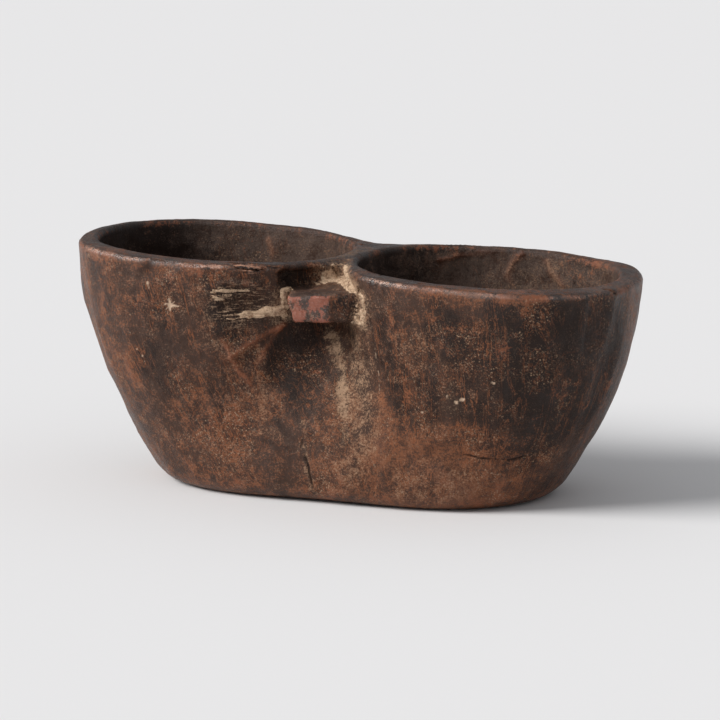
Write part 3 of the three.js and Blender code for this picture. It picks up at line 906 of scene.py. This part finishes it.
def carved_wood(finish):
    """Dark waxy patina over red-brown wood, rubbed warm at the edges, with dusted pores, painted shade,
    painted light down the waist and a painted highlight along the rim's shoulder.
    """
    g = Graph("carved_wood")
    own = g.own_place()
    along = g.place("grain_place", (1, 1, 0.17))
    leaning = g.place("grain_place", (1, 1, 0.34))
    hair = g.place("grain_place", (1, 1, 0.05))
    lying = g.own_place((0.12, 0.12, 1))
    inside, warm, soot_and_shade, dust_and_light = map(g.field, ("inside", "warm", "soot_and_shade", "dust_and_light"))
    worn, hollow, rim, polish, scar = map(g.field, ("worn", "hollow", "rim", "polish", "scar"))

    patches = g.noise(own, 32, 5, 0.6)
    plates = g.noise(along, 75, 6, 0.62, 0.5)
    mottle = g.noise(own, 190, 6, 0.7, 0.3)
    fibres = g.noise(hair, 900, 4, 0.65)
    grit = g.noise(own, 950, 5, 0.8)
    sand = g.noise(own, 2300, 2, 0.7)
    grain_lines = g.noise(lying, 1300, 3, 0.6)
    clusters = g.ease(g.noise(own, 55, 4, 0.6), 0.46, 0.60)

    # The patina: dark plates, browner between them, with a dry grey bloom; darker still under soot and
    # painted shade.
    dark = g.weighed(0.46, (soot_and_shade, 0.6), (warm, -0.2))
    dark = g.stirred(dark, (plates, 1.6), (patches, 1.4), (grit, 2.4))
    colour = g.blend(g.ease(dark, 0.25, 0.8), finish.patina_brown, finish.patina_dark)
    turned = g.noise(g.own_place((0.2, 0.2, 1)), 190, 4, 0.6)
    bloom = g.weighed(0.40, (inside, 0.45), (soot_and_shade, -0.6), (rim, -0.35))
    bloom = g.stirred(bloom, (mottle, 2.0), (grit, 2.2), (sand, 1.6), (turned, 0.9))
    colour = g.blend(g.times(g.ease(bloom, 0.4, 0.9), 0.7), colour, finish.patina_grey)

    # Red-brown wood showing through, grain by grain.
    shown = g.weighed(0.27, (warm, 0.34), (worn, 0.14), (soot_and_shade, -0.26), (inside, -0.18), (rim, 0.05))
    shown = g.stirred(shown, (plates, -0.8), (patches, 0.9), (mottle, 1.6), (grit, 2.8), (fibres, 0.2))
    red = g.blend(g.ease(mottle, 0.35, 0.65), finish.wood_red, finish.wood_orange)
    red = g.blend(g.times(warm, 0.5), red, finish.wood_warm)
    colour = g.blend(g.times(g.ease(shown, 0.24, 0.92), 0.9), colour, red)

    # Fine veins running down the wall.
    wide_vein = g.vein(g.noise(along, 90, 6, 0.68, 0.9), 0.015)
    thin_vein = g.vein(g.noise(own, 120, 6, 0.68, 1.6), 0.015)
    veins = g.highest(g.times(wide_vein, g.ease(patches, 0.38, 0.52)), g.times(thin_vein, clusters))
    veins = g.times(veins, g.weighed(1.0, (inside, -0.75), (soot_and_shade, -0.35), (scar, -0.6)))
    colour = g.blend(g.times(veins, g.ease(grit, 0.34, 0.50)), colour, finish.wood_orange)

    # Ridges between cuts, rubbed back to red wood.
    ridge = g.times(g.times(g.field("ridge"), g.ease(grit, 0.34, 0.48)), g.weighed(1.0, (inside, -0.5)))
    colour = g.blend(ridge, colour, finish.rubbed)

    # Rubbed edges, the rim, a highlight painted pale along the rim's shoulder, and the polished lug end.
    rubbed = g.weighed(-0.22, (worn, 0.42), (rim, 0.02), (g.times(rim, warm), 0.26))
    rubbed = g.stirred(rubbed, (mottle, 3.0), (grit, 2.4), (patches, 2.6))
    rubbed = g.ease(rubbed, 0.30, 0.85)
    colour = g.blend(g.times(rubbed, 0.8), colour, finish.rubbed)
    # A pale highlight painted along the rim's outer shoulder.
    shoulder = g.field("shoulder")
    painted_highlight = g.stirred(g.weighed(-0.12, (shoulder, 0.5)), (plates, 1.4), (mottle, 2.2), (grit, 2.6))
    painted_highlight = g.times(g.ease(painted_highlight, 0.15, 0.8), g.ease(shoulder, 0.05, 0.5))
    colour = g.blend(g.times(painted_highlight, 0.8), colour, finish.highlight_and_splinter)
    blotches = g.noise(own, 130, 4, 0.6)
    lug_end = g.ease(g.stirred(0.72, (blotches, 4.2), (grit, 1.6)), 0.26, 0.46)
    lug_end = g.times(lug_end, g.ease(polish, 0.2, 0.7))
    colour = g.blend(g.times(lug_end, 0.9), colour, finish.lug_red)

    # Pale pores and dusting, and painted light down the waist.
    pore = g.ease(g.stirred(g.cells(own, 520), (grit, -0.5)), 0.26, 0.12)
    pores = g.times(g.times(pore, clusters), g.ease(patches, 0.44, 0.56))
    # How thickly it lies, with painted light down the waist.
    thick = g.weighed(-0.15, (dust_and_light, 0.62), (hollow, 0.1))
    thick = g.stirred(thick, (plates, -0.9), (mottle, 1.1), (grit, 3.0))
    dust_and_light_share = g.highest(g.times(pores, 0.8), g.times(g.ease(thick, 0.22, 0.85), 0.9))
    dust_and_light_share = g.times(dust_and_light_share, g.weighed(1, (inside, -0.45), (polish, -0.8)))
    colour = g.blend(dust_and_light_share, colour, finish.dust_and_light)

    # Pale flecks of grit caught in the grain.
    fleck = g.times(g.ease(g.noise(own, 1150, 3, 0.75), 0.55, 0.63), g.ease(mottle, 0.42, 0.54))
    fleck = g.times(fleck, g.weighed(0.95, (soot_and_shade, -0.35), (inside, -0.45), (rim, -0.5)))
    fleck = g.times(fleck, g.weighed(0.25, (clusters, 0.75)))
    colour = g.blend(fleck, colour, finish.fleck)

    # Crossing scratches, few and fine.
    slanted = g.own_place((1, 1, 0.05), (0.3, 0.5, 0))
    scratch = g.times(g.vein(g.noise(slanted, 230, 2, 0.5), 0.006), g.ease(patches, 0.5, 0.6))
    colour = g.blend(g.times(scratch, g.weighed(0.45, (inside, -0.4))), colour, finish.dust_and_light)

    # The torn scar: dark wood with pale strands along the grain.
    strands = g.times(scar, g.ease(g.stirred(grain_lines, (grit, 0.8)), 0.55, 0.66))
    colour = g.blend(g.times(scar, 0.55), colour, finish.patina_dark)
    colour = g.blend(g.times(strands, 0.85), colour, finish.fleck)
    chip = g.field("chip")
    splinters = g.ease(g.stirred(grain_lines, (grit, 0.5)), 0.46, 0.58)
    torn_wood = g.blend(splinters, finish.patina_dark, finish.highlight_and_splinter)
    colour = g.blend(g.times(chip, 0.9), colour, torn_wood)
    colour = g.blend(g.field("flake"), colour, finish.flake)
    colour = g.blend(g.times(g.field("split"), 0.9), colour, finish.patina_dark)

    gloss = g.weighed(0.39, (dust_and_light_share, 0.4), (warm, 0.10), (scar, 0.25), (rubbed, -0.08), (soot_and_shade, 0.08),
                      (polish, -0.16), (rim, -0.06), (shoulder, -0.16), (inside, 0.08), (hollow, 0.15))
    gloss = g.stirred(gloss, (mottle, 0.7), (grit, 0.6))
    shine = g.weighed(0.20, (rim, 0.06), (shoulder, 1.1), (polish, 0.5), (worn, 0.08), (dust_and_light_share, -0.15))
    relief = g.weighed(0, (fibres, 0.35), (mottle, 0.8), (grit, 0.75), (sand, 0.12), (plates, 0.7),
                       (veins, -0.10), (pores, -0.25), (dust_and_light_share, 0.12), (scratch, -0.15),
                       (g.times(scar, grain_lines), 1.2))
    normal = g.bump(relief, finish.relief_depth)
    return g.finish(Base_Color=colour, Roughness=gloss, Normal=normal, Specular_IOR_Level=shine)


def dried_crust(name, finish):
    """Chalky crust: pale grains over a browner bed, matt all over."""
    g = Graph(name)
    own = g.own_place()
    strands = g.noise(g.own_place((0.25, 0.25, 1)), 700, 4, 0.65)
    clots = g.noise(own, 260, 6, 0.72)
    grains = g.noise(own, 1000, 4, 0.8)
    pits = g.cells(own, 620)
    mix = g.ease(g.stirred(0.5, (clots, 1.6), (grains, 1.8), (strands, 1.2)), 0.2, 0.75)
    colour = g.blend(mix, finish.crust_deep, finish.crust_pale)
    stained = g.ease(g.stirred(0.3, (clots, -2.2), (grains, -1.6)), 0.4, 0.75)
    colour = g.blend(g.times(stained, 0.8), colour, finish.wood_red)
    colour = g.blend(g.times(g.ease(pits, 0.20, 0.08), 0.6), colour, finish.patina_brown)
    relief = g.weighed(0, (grains, 0.9), (clots, 0.8), (strands, 0.6), (pits, 0.3))
    normal = g.bump(relief, finish.relief_depth)
    return g.finish(Base_Color=colour, Roughness=0.93, Normal=normal, Specular_IOR_Level=0.2)


# ---- settings

def colour_setting(name, description, default):
    return FloatVectorProperty(name=name, description=description, subtype="COLOR", size=3,
                               min=0, max=1, default=default)


class DoubleBowlSizes(bpy.types.PropertyGroup):
    skin_step: FloatProperty(
        name="Skin step", description="Size of the small faces that the block is carved in",
        default=2.25 * MM, min=0.5 * MM, max=4 * MM, unit="LENGTH", precision=4)
    refinements: IntProperty(
        name="Refinements", description="Times the faces round the lug and the splits are halved",
        default=2, min=0, max=3)
    settling: IntProperty(
        name="Settling", description="Smoothing passes before any carving", default=3, min=0, max=40)


class DoubleBowlFinish(bpy.types.PropertyGroup):
    patina_dark: colour_setting("Dark patina", "Smoke-black skin", (0.019, 0.0095, 0.0065))
    patina_brown: colour_setting("Brown patina", "Handled brown skin", (0.052, 0.026, 0.017))
    patina_grey: colour_setting("Grey patina", "Dry greyish skin", (0.106, 0.072, 0.057))
    wood_red: colour_setting("Red wood", "Red-brown wood under the skin", (0.13, 0.043, 0.02))
    wood_orange: colour_setting("Orange wood", "Brighter wood under the skin", (0.265, 0.092, 0.038))
    wood_warm: colour_setting("Warm wash", "Warm tint over the lower wall", (0.195, 0.076, 0.036))
    rubbed: colour_setting("Rubbed edge", "Edges rubbed by hands", (0.215, 0.068, 0.029))
    # Painted highlight on the rim's shoulder, and the pale of torn splinters in the chip.
    highlight_and_splinter: colour_setting("Bright edge", "Rim shoulder polished pale by use", (0.5, 0.26, 0.17))
    lug_red: colour_setting("Lug end", "Polished end grain of the lug", (0.335, 0.098, 0.054))
    # Pale dust, and also the colour of the light painted down the waist.
    dust_and_light: colour_setting("Dust", "Pale dust in pores and corners", (0.4, 0.262, 0.17))
    fleck: colour_setting("Fleck", "Grit caught in the grain", (0.34, 0.22, 0.145))
    flake: colour_setting("Flake", "Fresh pale wood where a flake came off", (0.62, 0.44, 0.31))
    crust_pale: colour_setting("Pale crust", "Dry grains of the crust", (0.64, 0.455, 0.31))
    crust_deep: colour_setting("Deep crust", "Browner bed of the crust", (0.36, 0.238, 0.152))
    relief_depth: FloatProperty(
        name="Grain relief", description="Depth of the finest grain and pores",
        default=0.65 * MM, min=0, max=3 * MM, unit="LENGTH", precision=5)


class DoubleBowlStage(bpy.types.PropertyGroup):
    azimuth: FloatProperty(
        name="Azimuth", description="Camera's turn round the bowl, from the front towards +X",
        default=math.radians(20.3), subtype="ANGLE")
    elevation: FloatProperty(
        name="Elevation", description="Camera's height above the floor, as an angle",
        default=math.radians(11.1), subtype="ANGLE")
    distance: FloatProperty(
        name="Distance", description="Camera to the middle of the bowl", default=1.8, unit="LENGTH")
    focal_length: FloatProperty(
        name="Focal length", description="Camera's focal length in millimetres", default=172.4)
    floor_colour: colour_setting("Floor", "Pale studio floor", (0.8, 0.8, 0.81))
    floor_size: FloatProperty(
        name="Floor size", description="Side of the floor", default=16, unit="LENGTH")
    key_strength: FloatProperty(
        name="Key light", description="Strength of the low light on the left", default=3.3)
    key_softness: FloatProperty(
        name="Key softness", description="How wide the key light looks from the bowl",
        default=math.radians(30), subtype="ANGLE")
    key_from: FloatVectorProperty(
        name="Key from", description="Direction towards the key light", size=3,
        subtype="XYZ", default=(-1.0, -0.73, 0.87))
    fill_strength: FloatProperty(name="Fill", description="Light from all round", default=0.425)


# ---- operators

def settings():
    scene = bpy.context.scene
    return scene.double_bowl_sizes, scene.double_bowl_finish, scene.double_bowl_stage


def dress(piece, material, slot, *nodes):
    """Gives a piece its material and its place in the frame."""
    piece.data.materials.append(material)
    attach(piece, "root")
    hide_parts(*nodes)


class BOWL_OT_carve_block(bpy.types.Operator):
    """Carve the double bowl: both cups, the waist, the lug, and all that wear has done"""

    bl_idname = "double_bowl.carve_block"
    bl_label = "Carve Block"

    def execute(self, context):
        sizes, finish, _ = settings()
        piece = fine_copy("double_bowl", CARVED, sizes.skin_step)
        skin = Skin(piece.data)
        skin.relax(sizes.settling)
        skin.refine(rim_depth(skin.points) < RIM_FINE_DEPTH)
        sharpen(skin, rim_depth(skin.points) < RIM_CRISP_DEPTH, 0.95)
        cut_by_hand(skin)
        cut_with_tools(skin)
        wear_the_rim(skin)
        for step in range(sizes.refinements):
            margin = ZONE_STEP * (sizes.refinements - 1 - step)
            skin.refine(fine_zone(skin, margin))
            cut_zone = fine_zone(skin, margin + 1)
            skin.points[cut_zone] = skin.smoothed(skin.points, 1, 0.5)[cut_zone]
            skin.write()
        sharpen(skin, (rim_depth(skin.points) < RIM_EDGE_DEPTH) & (inner_share(skin) > 0.05), 0.5)
        round_lug, _ = nearest_on("lug_crust", skin.points, NEARBY)
        sharpen(skin, (lug_share(skin.points) > 0.5) | (round_lug < LUG_CRISP), 0.9)
        shape_the_lug(skin)
        cut_the_waist(skin)
        ridge = raise_ridges(skin)
        tear_the_scar(skin)
        open_split, flakes = split_and_chip(skin)
        roughen(skin)
        skin.points[:, 2] -= skin.points[:, 2].min()
        skin.write()
        paint_the_wood(skin, open_split, flakes, ridge)
        shade_smooth(skin.mesh)
        dress(piece, carved_wood(finish), "carved_wood", "double_bowl")
        return {"FINISHED"}


def lay_crust(name, node, thickness_on):
    """Grows one crust on the carved block, in place of its CAD node."""
    if CARVED not in bpy.data.objects:
        raise RuntimeError("carve the block before laying the crust")
    skin = Skin(bpy.data.objects[CARVED].data)
    crust = grow_crust(skin, thickness_on(skin), name)
    _, finish, _ = settings()
    dress(crust, dried_crust(node, finish), node, node)


class BOWL_OT_lay_lug_crust(bpy.types.Operator):
    """Lay the pale crust packed round the root of the lug"""

    bl_idname = "double_bowl.lay_lug_crust"
    bl_label = "Lay Lug Crust"

    def execute(self, context):
        lay_crust("lug_collar_crust", "lug_crust", collar_thickness)
        return {"FINISHED"}


class BOWL_OT_lay_scar_crust(bpy.types.Operator):
    """Lay the broken band of crust in the scar left of the lug"""

    bl_idname = "double_bowl.lay_scar_crust"
    bl_label = "Lay Scar Crust"

    def execute(self, context):
        lay_crust("scar_band_crust", "scar_crust", scar_thickness)
        return {"FINISHED"}


BOWL_HEART = Vector((0.0008, -0.0015, 0.058))
SIGHT_LINE = BOWL_HEART + Vector((0.0013, 0.0018, 0.0069))  # where the camera looks
KEY_COLOUR = (1.0, 0.985, 0.965)
FILL_COLOUR = (0.97, 0.98, 1.0, 1)


def aim(thing, target):
    """Turns a camera or light to look at a point."""
    towards = Vector(target) - thing.location
    thing.rotation_euler = towards.to_track_quat("-Z", "Y").to_euler()


class BOWL_OT_set_stage(bpy.types.Operator):
    """Set the floor, the lights and the camera"""

    bl_idname = "double_bowl.set_stage"
    bl_label = "Set Stage"

    def execute(self, context):
        _, _, stage = settings()
        scene = context.scene
        scene.view_settings.view_transform = "Standard"
        self.lay_floor(stage)
        self.hang_lights(scene, stage)
        self.place_camera(scene, stage)
        return {"FINISHED"}

    def lay_floor(self, stage):
        half = stage.floor_size / 2
        mesh = bpy.data.meshes.new("floor")
        corners = [(-half, -half, 0), (half, -half, 0), (half, half, 0), (-half, half, 0)]
        mesh.from_pydata(corners, [], [(0, 1, 2, 3)])
        floor = new_piece("floor", mesh)
        g = Graph("pale_floor")
        mesh.materials.append(g.finish(Base_Color=(*stage.floor_colour, 1), Roughness=0.9,
                                       Specular_IOR_Level=0.2))

    def hang_lights(self, scene, stage):
        key = bpy.data.lights.new("key", "SUN")
        key.energy = stage.key_strength
        key.angle = stage.key_softness
        key.color = KEY_COLOUR
        lamp = new_piece("key", key)
        lamp.location = stage.key_from
        aim(lamp, (0, 0, 0))
        world = bpy.data.worlds.new("studio")
        world.use_nodes = True
        background = world.node_tree.nodes["Background"]
        background.inputs["Color"].default_value = FILL_COLOUR
        background.inputs["Strength"].default_value = stage.fill_strength
        scene.world = world

    def place_camera(self, scene, stage):
        back = Vector((math.sin(stage.azimuth) * math.cos(stage.elevation),
                       -math.cos(stage.azimuth) * math.cos(stage.elevation),
                       math.sin(stage.elevation)))
        camera = bpy.data.cameras.new("camera")
        camera.lens = stage.focal_length
        camera.sensor_width = 36
        eye = new_piece("camera", camera)
        eye.location = BOWL_HEART + back * stage.distance
        aim(eye, SIGHT_LINE)
        scene.camera = eye


class BOWL_PT_panel(bpy.types.Panel):
    bl_idname = "BOWL_PT_panel"
    bl_label = "Double Bowl"
    bl_space_type = "VIEW_3D"
    bl_region_type = "UI"
    bl_category = "Double Bowl"

    def draw(self, context):
        for group in settings():
            box = self.layout.box()
            for name in group.__annotations__:
                box.prop(group, name)
        for operator in OPERATORS:
            self.layout.operator(operator.bl_idname)


GROUPS = {
    "double_bowl_sizes": DoubleBowlSizes,
    "double_bowl_finish": DoubleBowlFinish,
    "double_bowl_stage": DoubleBowlStage,
}
OPERATORS = (BOWL_OT_set_stage, BOWL_OT_carve_block, BOWL_OT_lay_lug_crust, BOWL_OT_lay_scar_crust)
CLASSES = (*GROUPS.values(), *OPERATORS, BOWL_PT_panel)


def register():
    for cls in CLASSES:
        bpy.utils.register_class(cls)
    for name, group in GROUPS.items():
        setattr(bpy.types.Scene, name, PointerProperty(type=group))


def unregister():
    for name in GROUPS:
        delattr(bpy.types.Scene, name)
    for cls in reversed(CLASSES):
        bpy.utils.unregister_class(cls)


def main():
    register()
    bpy.ops.double_bowl.set_stage()
    bpy.ops.double_bowl.carve_block()
    bpy.ops.double_bowl.lay_lug_crust()
    bpy.ops.double_bowl.lay_scar_crust()


if __name__ == "__main__":
    main()
